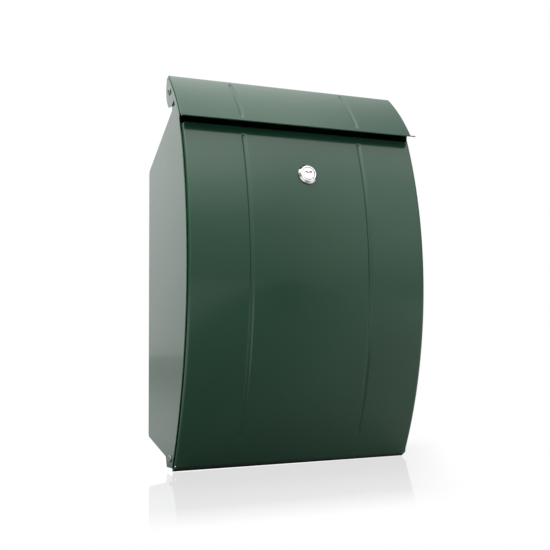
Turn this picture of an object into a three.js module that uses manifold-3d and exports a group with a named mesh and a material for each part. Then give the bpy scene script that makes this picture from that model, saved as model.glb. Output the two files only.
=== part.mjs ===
// A wall mounted mailbox of pressed sheet steel, in millimetres, +Z up.
// The wall is the plane Y = 0, the front faces -Y, and the origin is the middle of the back panel.
// Most pieces are drawn in the side view, as points (y, z), and run across the box along X.
import * as THREE from "three";
import { mergeVertices } from "three/addons/utils/BufferGeometryUtils.js";
import Module from "manifold-3d";

const wasm = await Module();
wasm.setup();

// Driving dimensions.
const boxWidth = 260;
const backHeight = 288;
const boxDepth = 145; // wall to the most forward line of the door
const sheet = 1; // thickness of every pressed panel
const gap = 0.3; // air between pieces that lie on one another
const swingGap = 0.6; // air between the door and the side panels it swings between
const foldRadius = 2.2; // outside radius of the long folds
const weldFlange = 12; // width of the flanges that join one panel to the next

// Planes across the box, measured from its middle.
const sideOuter = boxWidth / 2;
const sideInner = sideOuter - sheet;
const innerFit = sideInner - gap;
const doorHalfWidth = sideInner - swingGap;
const lidHalfWidth = sideOuter + gap + sheet;

// The rolled front of the door.
const doorArc = { radius: 428, crownZ: 34 };
doorArc.centre = point(doorArc.radius - boxDepth, doorArc.crownZ);
const doorTop = 169.5;
const doorBottom = -165;
const doorFlange = 12;
const doorFlangeEnd = point(-87, -170.5);
const doorPivot = point(-86.8, -157.6);
const doorEarRadius = 7;
const doorBottomBend = 4.5;

// The lid: a rolled sheet between its top edge and its lower edge, with a lip that stands forward.
// Its end caps have a round rear edge, down to a corner behind the hinge rivet.
const lidTop = point(-81, 229.5);
const lidFoot = point(-126.5, 175.5);
const lidRadius = 222;
const lidArc = arcThrough(lidTop, lidFoot, lidRadius);
const lidPivot = point(-87.7, 209.1);
const lidCapCorner = point(-84.4, 193.4);
const lidCapArc = arcThrough(lidCapCorner, lidTop, 28);
const lidRearFlange = 9;
const lipLength = 9.5;
const lipTilt = THREE.MathUtils.degToRad(15);

// The two pressed grooves that run down the lid and the door.
const grooveX = boxWidth / 4;
const grooveHalfWidth = 2.5;
const grooveDepth = 1.2;
const doorGrooveFoot = -141;
const doorGrooveTop = 161;

// The slopes of the roof and the floor, as the heights of their outer faces at a distance from the wall.
const roofRise = 0.4725;
const floorFall = 0.19;
const roofFrontY = -97.5;
const floorFrontY = -64;
const roofZ = (y) => backHeight / 2 - y * roofRise;
const floorZ = (y) => -backHeight / 2 + y * floorFall;

// The cam lock on the door.
const lockZ = 122;
const lockHeadRadius = 10.4;
const barrelRadius = 7.8;
const barrelFlat = 6.9;
const plugRadius = 5.4;
const barrelLength = 17;
const camThickness = 2;
const camLength = 30;
const camHalfWidth = 6;
const tailHalfWidth = 3.2;

// Rivets and screw holes.
const rivetRadius = 2.2;
const rivetHole = rivetRadius + gap;
const rivetHeadRadius = 3.6;
const wallHoleRadius = 3;
const wallHoles = { x: 95, z: 118 };

function point(y, z) {
  return new THREE.Vector2(y, z);
}

function onArc(arc, inset, z) {
  const radius = arc.radius - inset;
  return point(arc.centre.x - Math.sqrt(radius ** 2 - (z - arc.centre.y) ** 2), z);
}

// The arc that bulges forward between an upper and a lower point.
function arcThrough(upper, lower, radius) {
  const chord = lower.clone().sub(upper);
  const inward = point(-chord.y, chord.x).normalize();
  const reach = Math.sqrt(radius ** 2 - chord.lengthSq() / 4);
  const centre = upper.clone().add(lower).multiplyScalar(0.5).addScaledVector(inward, reach);
  return { radius, centre };
}

// How far a point on the arc stands above the horizontal through the arc's centre, as an angle.
function arcAngle(arc, z) {
  return Math.asin((z - arc.centre.y) / arc.radius);
}

// A line through the corners with each inner corner rounded.
function roundCorners(corners, radius, steps = 4) {
  const line = [corners[0]];
  for (let i = 1; i < corners.length - 1; i++) {
    const back = corners[i - 1].clone().sub(corners[i]).normalize();
    const onward = corners[i + 1].clone().sub(corners[i]).normalize();
    const half = Math.acos(back.dot(onward)) / 2;
    const inward = back.clone().add(onward).normalize();
    const centre = corners[i].clone().addScaledVector(inward, radius / Math.sin(half));
    const start = corners[i].clone().addScaledVector(back, radius / Math.tan(half));
    const turn = (Math.PI - 2 * half) * Math.sign(back.cross(start.clone().sub(centre)));
    for (let k = 0; k <= steps; k++) {
      line.push(start.clone().rotateAround(centre, (turn * k) / steps));
    }
  }
  line.push(corners.at(-1));
  return line;
}

// The line moved sideways, to its left when the distance is above zero.
function offsetLine(line, distance) {
  return line.map((p, i) => {
    const before = p.clone().sub(line[Math.max(i - 1, 0)]).normalize();
    const after = line[Math.min(i + 1, line.length - 1)].clone().sub(p).normalize();
    const along = before.add(after).normalize();
    return p.clone().add(point(-along.y, along.x).multiplyScalar(distance));
  });
}

// The outline of a sheet whose middle follows the line.
function sheetOutline(line, thickness = sheet) {
  return new THREE.Shape([...offsetLine(line, thickness / 2), ...offsetLine(line, -thickness / 2).reverse()]);
}

function solid(geometry) {
  geometry.deleteAttribute("normal");
  geometry.deleteAttribute("uv");
  const merged = mergeVertices(geometry, 1e-4);
  const vertProperties = merged.attributes.position.array;
  const triVerts = new Uint32Array(merged.index.array);
  return new wasm.Manifold(new wasm.Mesh({ numProp: 3, vertProperties, triVerts }));
}

function extrude(shape, depth, basis, offset) {
  const geometry = new THREE.ExtrudeGeometry(shape, { depth, bevelEnabled: false, curveSegments: 10 });
  geometry.applyMatrix4(new THREE.Matrix4().makeBasis(...basis).setPosition(...offset));
  return solid(geometry);
}

const axisX = new THREE.Vector3(1, 0, 0);
const axisY = new THREE.Vector3(0, 1, 0);
const axisZ = new THREE.Vector3(0, 0, 1);

// A side-view outline run across the box.
function across(shape, fromX, toX) {
  return extrude(shape, toX - fromX, [axisY, axisZ, axisX], [fromX, 0, 0]);
}

// A plan-view outline (x, y) run upwards.
function upward(shape, fromZ, toZ) {
  return extrude(shape, toZ - fromZ, [axisX, axisY, axisZ], [0, 0, fromZ]);
}

// A round bar along X, for holes in the side panels, the lid and the door.
function roundBar(at, radius, fromX, toX) {
  const circle = new THREE.Shape().absarc(at.x, at.y, radius, 0, 2 * Math.PI);
  return across(circle, fromX, toX);
}

// A body turned about X. The profile is drawn as (radius, distance outwards from the box middle).
function turnedAcross(at, side, profile, segments = 18) {
  const turned = new THREE.LatheGeometry(profile, segments);
  const outward = axisX.clone().multiplyScalar(side);
  const third = new THREE.Vector3().crossVectors(outward, axisZ);
  turned.applyMatrix4(new THREE.Matrix4().makeBasis(third, outward, axisZ).setPosition(0, at.x, at.y));
  return solid(turned);
}

// A bar that follows a rolled arc. Its section is drawn as (x, inset behind the arc). Each station
// gives a height on the arc and how far the grooves are pressed in there, from 0 to 1.
function rolledBar(arc, stations, halfWidth, inset, cornerRadius, backInset) {
  const section = new THREE.Shape();
  section.moveTo(halfWidth, backInset);
  section.lineTo(-halfWidth, backInset);
  section.absarc(-halfWidth + cornerRadius, inset + cornerRadius, cornerRadius, Math.PI, 1.5 * Math.PI);
  for (const middle of [-grooveX, grooveX]) {
    for (const share of [-1, -0.5, 0, 0.5, 1]) {
      section.lineTo(middle + share * grooveHalfWidth, inset);
    }
  }
  section.absarc(halfWidth - cornerRadius, inset + cornerRadius, cornerRadius, 1.5 * Math.PI, 2 * Math.PI);
  const steps = stations.length - 1;
  const drawn = { depth: steps, steps, bevelEnabled: false, curveSegments: 4 };
  const bar = new THREE.ExtrudeGeometry(section, drawn);
  const at = bar.attributes.position;
  for (let i = 0; i < at.count; i++) {
    const station = stations[Math.round(at.getZ(i))];
    const offGroove = (Math.abs(at.getX(i)) - grooveX) / grooveHalfWidth;
    const pressed = Math.max(0, 1 - offGroove ** 2) * grooveDepth * station.press;
    const radius = arc.radius - at.getY(i) - pressed;
    const angle = arcAngle(arc, station.z);
    at.setY(i, arc.centre.x - radius * Math.cos(angle));
    at.setZ(i, arc.centre.y + radius * Math.sin(angle));
  }
  return solid(bar);
}

// A rolled panel with folded edges: what lies inside the outline, less what lies inside the hollow.
function rolledPanel(arc, stations, halfWidth, outline, hollow) {
  const backInset = 60;
  const outer = rolledBar(arc, stations, halfWidth, 0, foldRadius, backInset);
  const inner = rolledBar(arc, stations, halfWidth - sheet, sheet, foldRadius - sheet, backInset + 5);
  const removed = inner.intersect(across(hollow, -boxWidth, boxWidth));
  return outer.intersect(across(outline, -boxWidth, boxWidth)).subtract(removed);
}

function evenStations(fromZ, toZ, count, press) {
  return Array.from({ length: count + 1 }, (_, i) => ({ z: fromZ + ((toZ - fromZ) * i) / count, press }));
}

function backPanel() {
  const halfWidth = sideOuter - 0.5;
  const halfHeight = backHeight / 2;
  const corner = 2;
  const plate = new THREE.Shape();
  plate.absarc(halfWidth - corner, halfHeight - corner, corner, 0, Math.PI / 2);
  plate.absarc(-halfWidth + corner, halfHeight - corner, corner, Math.PI / 2, Math.PI);
  plate.absarc(-halfWidth + corner, -halfHeight + corner, corner, Math.PI, 1.5 * Math.PI);
  plate.absarc(halfWidth - corner, -halfHeight + corner, corner, 1.5 * Math.PI, 2 * Math.PI);
  for (const x of [-wallHoles.x, wallHoles.x]) {
    for (const z of [-wallHoles.z, wallHoles.z]) {
      plate.holes.push(new THREE.Path().absarc(x, z, wallHoleRadius, 0, 2 * Math.PI));
    }
  }
  return extrude(plate, sheet, [axisX, axisZ, axisY.clone().negate()], [0, 0, 0]);
}

// The side panel stops just behind the face of the door and just under the lid, which rests on it.
// An ear above the roof carries the lid's rivet, and a tab at the bottom carries the door's rivet.
function sidePanel(side) {
  const frontSetback = 3.2;
  const edgeRadius = doorArc.radius - frontSetback;
  const edgeAngle = (z) => Math.PI - Math.asin((z - doorArc.centre.y) / edgeRadius);
  const earRadius = 8.5;
  const tabFoot = [point(-73.5, -167), point(-93, -166)];
  const frontFootZ = -161;
  const roofEdge = [point(-93, 197.5), point(-93, roofZ(-93)), point(-4, roofZ(-4))];
  const underLid = foldRadius - gap;
  const lidEdgeRadius = lidRadius - underLid;
  const lidEdgeAngle = (z) => Math.PI - Math.asin((z - lidArc.centre.y) / lidEdgeRadius);
  const outline = new THREE.Shape();
  outline.moveTo(-4, floorZ(-4));
  outline.lineTo(-70, floorZ(-70));
  tabFoot.forEach((p) => outline.lineTo(p.x, p.y));
  const { x: arcY, y: arcZ } = doorArc.centre;
  outline.absarc(arcY, arcZ, edgeRadius, edgeAngle(frontFootZ), edgeAngle(doorTop + 3), true);
  const { x: lidY, y: lidZ } = lidArc.centre;
  const lidEdge = [lidEdgeAngle(lidFoot.y + 6.5), lidEdgeAngle(lidPivot.y + 4)];
  outline.absarc(lidY, lidZ, lidEdgeRadius, ...lidEdge, true);
  outline.absarc(lidPivot.x, lidPivot.y, earRadius, 0.75 * Math.PI, -0.35 * Math.PI, true);
  roofEdge.forEach((p) => outline.lineTo(p.x, p.y));
  const [fromX, toX] = side > 0 ? [sideInner, sideOuter] : [-sideOuter, -sideInner];
  const middleX = sideOuter - sheet / 2;
  const flangeY = -sheet * 1.5 - gap;
  const fold = [point(middleX, -7), point(middleX, flangeY), point(sideOuter - weldFlange, flangeY)];
  const turned = roundCorners(fold, 1.6).map((p) => point(p.x * side, p.y));
  const flange = upward(sheetOutline(turned), -backHeight / 2, backHeight / 2);
  return across(outline, fromX, toX)
    .add(flange)
    .subtract(roundBar(lidPivot, rivetHole, -boxWidth, boxWidth))
    .subtract(roundBar(doorPivot, rivetHole, -boxWidth, boxWidth));
}

// A cross panel: the sheet itself, a flange down each end, and corners cut clear of the side flanges.
function crossPanel(line, endOutline) {
  const clear = sideOuter - weldFlange - gap;
  const rearY = -sheet * 2 - gap * 2;
  const corner = new THREE.Shape([point(rearY, -300), point(5, -300), point(5, 300), point(rearY, 300)]);
  let panel = across(sheetOutline(line), -innerFit, innerFit);
  for (const side of [-1, 1]) {
    const ends = [side * innerFit, side * (innerFit - sheet)].sort((a, b) => a - b);
    const cut = [side * clear, side * boxWidth].sort((a, b) => a - b);
    panel = panel.add(across(endOutline, ...ends)).subtract(across(corner, ...cut));
  }
  return panel;
}

function roofPanel() {
  const middleZ = (y) => roofZ(y) - (sheet / 2) * Math.hypot(1, roofRise);
  const rearY = -sheet * 1.5 - gap;
  const upstandTop = 201;
  const corners = [
    point(rearY, middleZ(0) - weldFlange),
    point(rearY, middleZ(rearY)),
    point(roofFrontY, middleZ(roofFrontY)),
    point(roofFrontY, upstandTop),
  ];
  const ends = new THREE.Shape([
    point(-6, middleZ(-6)),
    point(-90, middleZ(-90)),
    point(-90, middleZ(-90) - weldFlange),
    point(-6, middleZ(-6) - weldFlange),
  ]);
  return crossPanel(roundCorners(corners, 2), ends);
}

// The floor steps up at its front and reaches over the door's hinge rivets.
function floorPanel() {
  const middleZ = (y) => floorZ(y) + (sheet / 2) * Math.hypot(1, floorFall);
  const rearY = -sheet * 1.5 - gap;
  const shelfZ = doorPivot.y + 8;
  const shelfStartY = doorPivot.x + 12;
  const corners = [
    point(rearY, middleZ(0) + weldFlange),
    point(rearY, middleZ(rearY)),
    point(floorFrontY, middleZ(floorFrontY)),
    point(shelfStartY, shelfZ),
    point(doorPivot.x - 10, shelfZ),
  ];
  const ends = new THREE.Shape([
    point(-6, middleZ(-6)),
    point(floorFrontY + 2, middleZ(floorFrontY + 2)),
    point(floorFrontY + 2, middleZ(floorFrontY + 2) + weldFlange),
    point(-6, middleZ(-6) + weldFlange),
  ]);
  const [frontY, rearEdgeY, lowZ, highZ] = [-110, floorFrontY - 2, -170, -120];
  const besideDoor = new THREE.Shape([
    point(frontY, lowZ),
    point(rearEdgeY, lowZ),
    point(rearEdgeY, highZ),
    point(frontY, highZ),
  ]);
  const shelfHalfWidth = doorHalfWidth - sheet - 1.4;
  return crossPanel(roundCorners(corners, 2), ends)
    .subtract(across(besideDoor, shelfHalfWidth, boxWidth))
    .subtract(across(besideDoor, -boxWidth, -shelfHalfWidth));
}

// The cross rail behind the top of the door, which the lock's cam turns behind. Its upper edge is
// folded forward, and a tab at each end is folded back against the side panel.
function strikeRail() {
  const inset = 15.5;
  const [lowZ, highZ] = [137, 159];
  const foldedEdge = onArc(doorArc, 5, highZ + 3);
  const line = roundCorners([onArc(doorArc, inset, lowZ), onArc(doorArc, inset, highZ), foldedEdge], 2);
  const halfWidth = doorHalfWidth - sheet - 1.5;
  const tab = [lowZ, highZ - 3].flatMap((z) => [onArc(doorArc, inset, z), onArc(doorArc, inset + 9, z)]);
  const tabOutline = new THREE.Shape([tab[0], tab[1], tab[3], tab[2]]);
  const plate = new THREE.Shape([
    onArc(doorArc, inset - sheet / 2, lowZ),
    onArc(doorArc, inset - sheet / 2, highZ - 3),
    onArc(doorArc, inset + sheet / 2, highZ - 3),
    onArc(doorArc, inset + sheet / 2, lowZ),
  ]);
  return across(sheetOutline(line), -halfWidth, halfWidth)
    .add(across(plate, -innerFit, innerFit))
    .add(across(tabOutline, -innerFit, -innerFit + sheet))
    .add(across(tabOutline, innerFit - sheet, innerFit));
}

function doorOutlines() {
  const { x: arcY, y: arcZ } = doorArc.centre;
  const inFront = -boxDepth - 20;
  const rearRadius = doorArc.radius - doorFlange;
  const rearAngle = (z) => Math.PI - Math.asin((z - arcZ) / rearRadius);
  const corner = onArc(doorArc, 0, doorBottom);
  const flangeEnd = doorFlangeEnd;
  const alongFlange = corner.clone().sub(flangeEnd).normalize();
  const intoBox = point(-alongFlange.y, alongFlange.x).multiplyScalar(-sheet);
  const upDoor = point(corner.y - arcZ, arcY - corner.x).normalize();
  const bottomLine = [flangeEnd, corner, corner.clone().addScaledVector(upDoor, 12)];
  const bottomBend = roundCorners(bottomLine, doorBottomBend);
  const sideFlangeFoot = -138;

  const outline = new THREE.Shape();
  outline.moveTo(inFront, bottomBend.at(-1).y);
  outline.lineTo(inFront, doorTop);
  outline.absarc(arcY, arcZ, rearRadius, rearAngle(doorTop), rearAngle(sideFlangeFoot));
  outline.absarc(doorPivot.x, doorPivot.y, doorEarRadius, 0.3 * Math.PI, -0.5 * Math.PI, true);
  bottomBend.forEach((p) => outline.lineTo(p.x, p.y));

  const innerLine = bottomLine.map((p) => p.clone().add(intoBox));
  const hollowBend = roundCorners(innerLine, doorBottomBend - sheet);
  const hollow = new THREE.Shape();
  hollow.moveTo(inFront, doorTop - sheet);
  hollow.lineTo(-30, doorTop - sheet);
  hollow.lineTo(-30, -200);
  hollow.lineTo(flangeEnd.x, flangeEnd.y);
  hollowBend.forEach((p) => hollow.lineTo(p.x, p.y));
  hollow.lineTo(inFront, hollowBend.at(-1).y);
  return { outline, hollow };
}

function doorPanel() {
  const stations = [
    ...evenStations(doorBottom - 7, doorGrooveFoot, 3, 0),
    ...evenStations(doorGrooveFoot + 5, doorGrooveTop - 4, 22, 1),
    ...evenStations(doorGrooveTop, doorTop + 8, 1, 0),
  ];
  const { outline, hollow } = doorOutlines();
  return rolledPanel(doorArc, stations, doorHalfWidth, outline, hollow)
    .subtract(roundBar(doorPivot, rivetHole, -boxWidth, boxWidth))
    .subtract(onLockAxis(flattedRod(barrelRadius + gap, barrelFlat + gap, -8, 8)));
}

function lidOutlines() {
  const inFrontY = -160;
  const downFront = point(lidTop.y - lidArc.centre.y, lidArc.centre.x - lidTop.x).negate().normalize();
  const onFront = lidTop.clone().addScaledVector(downFront, 8);
  const downRear = (length) => lidTop.clone().rotateAround(lidCapArc.centre, -length / lidCapArc.radius);
  const topBend = roundCorners([onFront, lidTop, downRear(lidRearFlange / 3)], foldRadius);
  const { centre: rearCentre, radius: rearRadius } = lidCapArc;
  const rearAngle = downRear(lidRearFlange / 3).sub(rearCentre).angle();
  const cornerAngle = lidCapCorner.clone().sub(rearCentre).angle() - 2 * Math.PI;
  const lowerEdge = [
    point(-97.5, 192.2),
    point(-104.5, 196),
    point(-109, 188.5),
    point(lidFoot.x + 3, lidFoot.y + 0.8),
    lidFoot,
  ];

  const outline = new THREE.Shape();
  outline.moveTo(inFrontY, onFront.y);
  topBend.slice(0, -1).forEach((p) => outline.lineTo(p.x, p.y));
  outline.absarc(rearCentre.x, rearCentre.y, rearRadius, rearAngle, cornerAngle, true);
  lowerEdge.forEach((p) => outline.lineTo(p.x, p.y));
  outline.lineTo(inFrontY, lidFoot.y);

  const folded = [...topBend, downRear((lidRearFlange * 2) / 3), downRear(lidRearFlange)];
  const flangeEnd = folded.at(-1);
  const hollow = new THREE.Shape();
  hollow.moveTo(inFrontY, onFront.y);
  offsetLine(folded, -sheet).forEach((p) => hollow.lineTo(p.x, p.y));
  hollow.lineTo(flangeEnd.x, flangeEnd.y);
  hollow.lineTo(-30, 260);
  hollow.lineTo(-30, 160);
  hollow.lineTo(inFrontY, 160);
  return { outline, hollow };
}

function lidLip() {
  const corner = 2;
  const frontY = -lipLength + corner;
  const plan = new THREE.Shape();
  plan.moveTo(lidHalfWidth, 0);
  plan.lineTo(-lidHalfWidth, 0);
  plan.lineTo(-lidHalfWidth, frontY);
  plan.absarc(-lidHalfWidth + corner, frontY, corner, Math.PI, 1.5 * Math.PI);
  plan.absarc(lidHalfWidth - corner, frontY, corner, 1.5 * Math.PI, 2 * Math.PI);
  const forward = new THREE.Vector3(0, Math.cos(lipTilt), Math.sin(lipTilt));
  const up = new THREE.Vector3(0, -Math.sin(lipTilt), Math.cos(lipTilt));
  return extrude(plan, sheet, [axisX, forward, up], [0, lidFoot.x + sheet / 2, lidFoot.y]);
}

function lidCover() {
  const grooveTop = lidTop.y - 5;
  const grooveFoot = lidFoot.y + 5;
  const stations = [
    ...evenStations(lidFoot.y - 6, grooveFoot - 3, 1, 0),
    ...evenStations(grooveFoot, grooveTop - 3, 4, 1),
    ...evenStations(grooveTop, lidTop.y + 6, 1, 0),
  ];
  const { outline, hollow } = lidOutlines();
  return rolledPanel(lidArc, stations, lidHalfWidth, outline, hollow)
    .add(lidLip())
    .subtract(roundBar(lidPivot, rivetHole, -boxWidth, boxWidth));
}

// A rivet from its domed head outside a panel to its closed tail inside the washer.
function rivet(at, side, headX, tailX) {
  const headHeight = 1.8;
  const tailLength = 1.2;
  const dome = Array.from({ length: 5 }, (_, i) => {
    const angle = (i / 4) * (Math.PI / 2);
    return point(rivetHeadRadius * Math.cos(angle), headX + 0.4 + (headHeight - 0.4) * Math.sin(angle));
  });
  dome[4].x = 0;
  const profile = [
    point(0, tailX - tailLength),
    point(rivetHeadRadius - 0.5, tailX - tailLength),
    point(rivetHeadRadius - 0.2, tailX),
    point(rivetRadius, tailX),
    point(rivetRadius, headX),
    point(rivetHeadRadius, headX),
    ...dome,
  ];
  return turnedAcross(at, side, profile);
}

function washer(at, side, outerX) {
  const thickness = 0.8;
  const outerRadius = 4.2;
  const profile = [
    point(rivetHole, outerX - thickness),
    point(outerRadius, outerX - thickness),
    point(outerRadius, outerX),
    point(rivetHole, outerX),
    point(rivetHole, outerX - thickness),
  ];
  return turnedAcross(at, side, profile);
}

// The lock's own frame: its z axis leaves the door at right angles to the rolled surface.
const lockSeat = onArc(doorArc, 0, lockZ);
const lockTilt = arcAngle(doorArc, lockZ);
const lockFrame = new THREE.Matrix4()
  .makeBasis(
    axisX,
    new THREE.Vector3(0, Math.sin(lockTilt), Math.cos(lockTilt)),
    new THREE.Vector3(0, -Math.cos(lockTilt), Math.sin(lockTilt)),
  )
  .setPosition(0, lockSeat.x, lockSeat.y);

function onLockAxis(body) {
  return body.transform(lockFrame.elements.slice());
}

// A body turned about the lock's axis, drawn as (radius, height above the door).
function turnedOnLock(profile, segments = 28) {
  const turned = new THREE.LatheGeometry(profile, segments);
  turned.applyMatrix4(new THREE.Matrix4().makeBasis(axisY, axisZ, axisX));
  return solid(turned);
}

// A rod along the lock's axis with two flats that stop it turning in the door.
function flattedRod(radius, flat, fromZ, toZ) {
  const half = Math.asin(flat / radius);
  const outline = new THREE.Shape();
  outline.absarc(0, 0, radius, -half, half);
  outline.absarc(0, 0, radius, Math.PI - half, Math.PI + half);
  return upward(outline, fromZ, toZ);
}

function lockBody() {
  const headFoot = gap;
  const headTop = 3.4;
  const barrelFoot = -barrelLength;
  const head = turnedOnLock([
    point(0, headFoot),
    point(lockHeadRadius, headFoot),
    point(lockHeadRadius, headFoot + 1),
    point(lockHeadRadius - 0.5, headTop - 1),
    point(lockHeadRadius - 1.4, headTop - 0.3),
    point(lockHeadRadius - 2.6, headTop),
    point(0, headTop),
  ]);
  const bore = turnedOnLock([
    point(0, barrelFoot - 1),
    point(plugRadius + gap, barrelFoot - 1),
    point(plugRadius + gap, headTop - 1.6),
    point(plugRadius + 1.6, headTop - 1.6),
    point(plugRadius + 1.6, headTop + 1),
    point(0, headTop + 1),
  ]);
  return onLockAxis(head.add(flattedRod(barrelRadius, barrelFlat, barrelFoot, headFoot + 1)).subtract(bore));
}

function lockWasher() {
  const top = -sheet - gap;
  const innerRadius = barrelRadius + gap;
  return onLockAxis(
    turnedOnLock([
      point(innerRadius, top - 1),
      point(11, top - 1),
      point(11, top),
      point(innerRadius, top),
      point(innerRadius, top - 1),
    ]),
  );
}

function lockNut() {
  const top = -sheet * 2 - gap * 2;
  const height = 4;
  const acrossCorners = 11.5;
  const outline = new THREE.Shape(
    Array.from({ length: 6 }, (_, i) => point(acrossCorners, 0).rotateAround(point(0, 0), (i * Math.PI) / 3)),
  );
  outline.holes.push(new THREE.Path().absarc(0, 0, barrelRadius + gap, 0, 2 * Math.PI));
  return onLockAxis(upward(outline, top - height, top));
}

function squareCorners(half) {
  return [point(half, half), point(-half, half), point(-half, -half), point(half, -half)];
}

const plugFoot = -barrelLength - gap;
const camTop = plugFoot - gap;
const tailFoot = camTop - camThickness - gap;

function lockPlug() {
  const faceTop = 3.1;
  const faceFoot = 2.1;
  const plug = turnedOnLock([
    point(0, plugFoot),
    point(plugRadius, plugFoot),
    point(plugRadius, faceFoot),
    point(plugRadius + 1.3, faceFoot),
    point(plugRadius + 1.3, faceTop - 0.3),
    point(plugRadius + 1, faceTop),
    point(0, faceTop),
  ]);
  const tail = new THREE.Shape(squareCorners(tailHalfWidth));
  const keyLine = [point(-3.4, 2.2), point(-0.5, 1), point(0.8, 0.6), point(2.2, 1.8), point(4, 1.8)];
  const keyway = sheetOutline(keyLine, 1.2);
  const screwHole = new THREE.Shape().absarc(0, 0, 1.8, 0, 2 * Math.PI);
  return onLockAxis(
    plug
      .add(upward(tail, tailFoot + gap, plugFoot + 1))
      .subtract(upward(keyway, faceTop - 6, faceTop + 1))
      .subtract(upward(screwHole, tailFoot - 1, plugFoot + 4)),
  );
}

function lockCam() {
  const outline = new THREE.Shape();
  const tip = camLength - camHalfWidth;
  outline.absarc(0, 0, camHalfWidth + 1, 0.3 * Math.PI, 1.7 * Math.PI);
  outline.absarc(tip, 0, camHalfWidth, -0.4 * Math.PI, 0.4 * Math.PI);
  outline.holes.push(new THREE.Path(squareCorners(tailHalfWidth + gap)));
  return onLockAxis(upward(outline, camTop - camThickness, camTop));
}

function camScrew() {
  const headTop = tailFoot;
  return onLockAxis(
    turnedOnLock(
      [
        point(0, headTop - 2.6),
        point(3, headTop - 2.4),
        point(4.4, headTop - 1.2),
        point(4.4, headTop),
        point(1.5, headTop),
        point(1.5, plugFoot + 3),
        point(0, plugFoot + 3),
      ],
      20,
    ),
  );
}

function geometryOf(body) {
  const { vertProperties, triVerts } = body.getMesh();
  const geometry = new THREE.BufferGeometry();
  geometry.setAttribute("position", new THREE.BufferAttribute(vertProperties, 3));
  geometry.setIndex(new THREE.BufferAttribute(triVerts, 1));
  geometry.computeVertexNormals();
  return geometry;
}

const finishes = {
  paint: { color: 0x1d3a2b, roughness: 0.25, metalness: 0.1 },
  chrome: { color: 0xd8dadb, roughness: 0.15, metalness: 1 },
  zinc: { color: 0x9a9c98, roughness: 0.4, metalness: 1 },
};

const group = new THREE.Group();

function place(name, body, finish) {
  const mesh = new THREE.Mesh(geometryOf(body), new THREE.MeshStandardMaterial(finishes[finish]));
  mesh.name = name;
  group.add(mesh);
}

place("back_panel", backPanel(), "paint");
place("roof_panel", roofPanel(), "paint");
place("floor_panel", floorPanel(), "paint");
place("strike_rail", strikeRail(), "paint");
place("lid_cover", lidCover(), "paint");
place("door_panel", doorPanel(), "paint");
place("lock_body", lockBody(), "chrome");
place("lock_washer", lockWasher(), "zinc");
place("lock_nut", lockNut(), "zinc");
place("lock_plug", lockPlug(), "chrome");
place("lock_cam", lockCam(), "zinc");
place("cam_screw", camScrew(), "zinc");

for (const [hand, side] of Object.entries({ left: -1, right: 1 })) {
  place("side_panel_" + hand, sidePanel(side), "paint");
  place("lid_rivet_" + hand, rivet(lidPivot, side, lidHalfWidth + gap, innerFit - 0.8 - gap), "zinc");
  place("lid_washer_" + hand, washer(lidPivot, side, innerFit), "zinc");
  const doorInner = doorHalfWidth - sheet - gap;
  place("door_rivet_" + hand, rivet(doorPivot, side, sideOuter + gap, doorInner - 0.8 - gap), "zinc");
  place("door_washer_" + hand, washer(doorPivot, side, doorInner), "zinc");
}

export default group;
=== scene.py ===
# The looks of a wall mounted mailbox: pressed sheet steel in gloss moss green, on a pale floor.
# Dimensions here are in millimetres until a mesh is made. Side-view points are (y, z).
import math

import bmesh
import bpy
from mathutils import Matrix, Vector


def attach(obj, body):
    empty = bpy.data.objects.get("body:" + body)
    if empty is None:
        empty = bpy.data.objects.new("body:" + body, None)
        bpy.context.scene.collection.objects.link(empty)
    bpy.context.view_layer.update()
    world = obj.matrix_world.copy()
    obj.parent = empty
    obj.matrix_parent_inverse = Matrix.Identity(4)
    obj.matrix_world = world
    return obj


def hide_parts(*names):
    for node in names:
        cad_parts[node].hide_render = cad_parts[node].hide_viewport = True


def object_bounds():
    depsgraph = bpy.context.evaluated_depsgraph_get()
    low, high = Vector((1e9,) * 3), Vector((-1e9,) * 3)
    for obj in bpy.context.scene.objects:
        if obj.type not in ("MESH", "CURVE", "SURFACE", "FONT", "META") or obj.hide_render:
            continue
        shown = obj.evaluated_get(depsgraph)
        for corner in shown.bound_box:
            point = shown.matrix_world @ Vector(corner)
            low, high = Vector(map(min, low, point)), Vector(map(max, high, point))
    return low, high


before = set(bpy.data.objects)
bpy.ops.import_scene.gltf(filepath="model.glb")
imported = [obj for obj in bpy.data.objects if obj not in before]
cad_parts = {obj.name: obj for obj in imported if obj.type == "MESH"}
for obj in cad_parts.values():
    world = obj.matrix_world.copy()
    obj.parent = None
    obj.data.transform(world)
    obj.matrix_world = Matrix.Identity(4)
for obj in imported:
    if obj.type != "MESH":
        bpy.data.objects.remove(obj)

cad_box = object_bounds()
MM = 0.001

# Driving dimensions, the same as the frame's apart from the grooves and the door flange's end.
BOX_WIDTH = 260
BACK_HEIGHT = 288
BOX_DEPTH = 145
SHEET = 1
GAP = 0.3
FOLD_RADIUS = 2.2
CUT_EDGE = 0.22  # how far the cut edges of the sheet are rounded
SIDE_OUTER = BOX_WIDTH / 2
SIDE_INNER = SIDE_OUTER - SHEET
INNER_FIT = SIDE_INNER - GAP
DOOR_HALF_WIDTH = SIDE_INNER - 0.6
LID_HALF_WIDTH = SIDE_OUTER + GAP + SHEET
WELD_FLANGE = 12


def point(y, z):
    return Vector((y, z))


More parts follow.
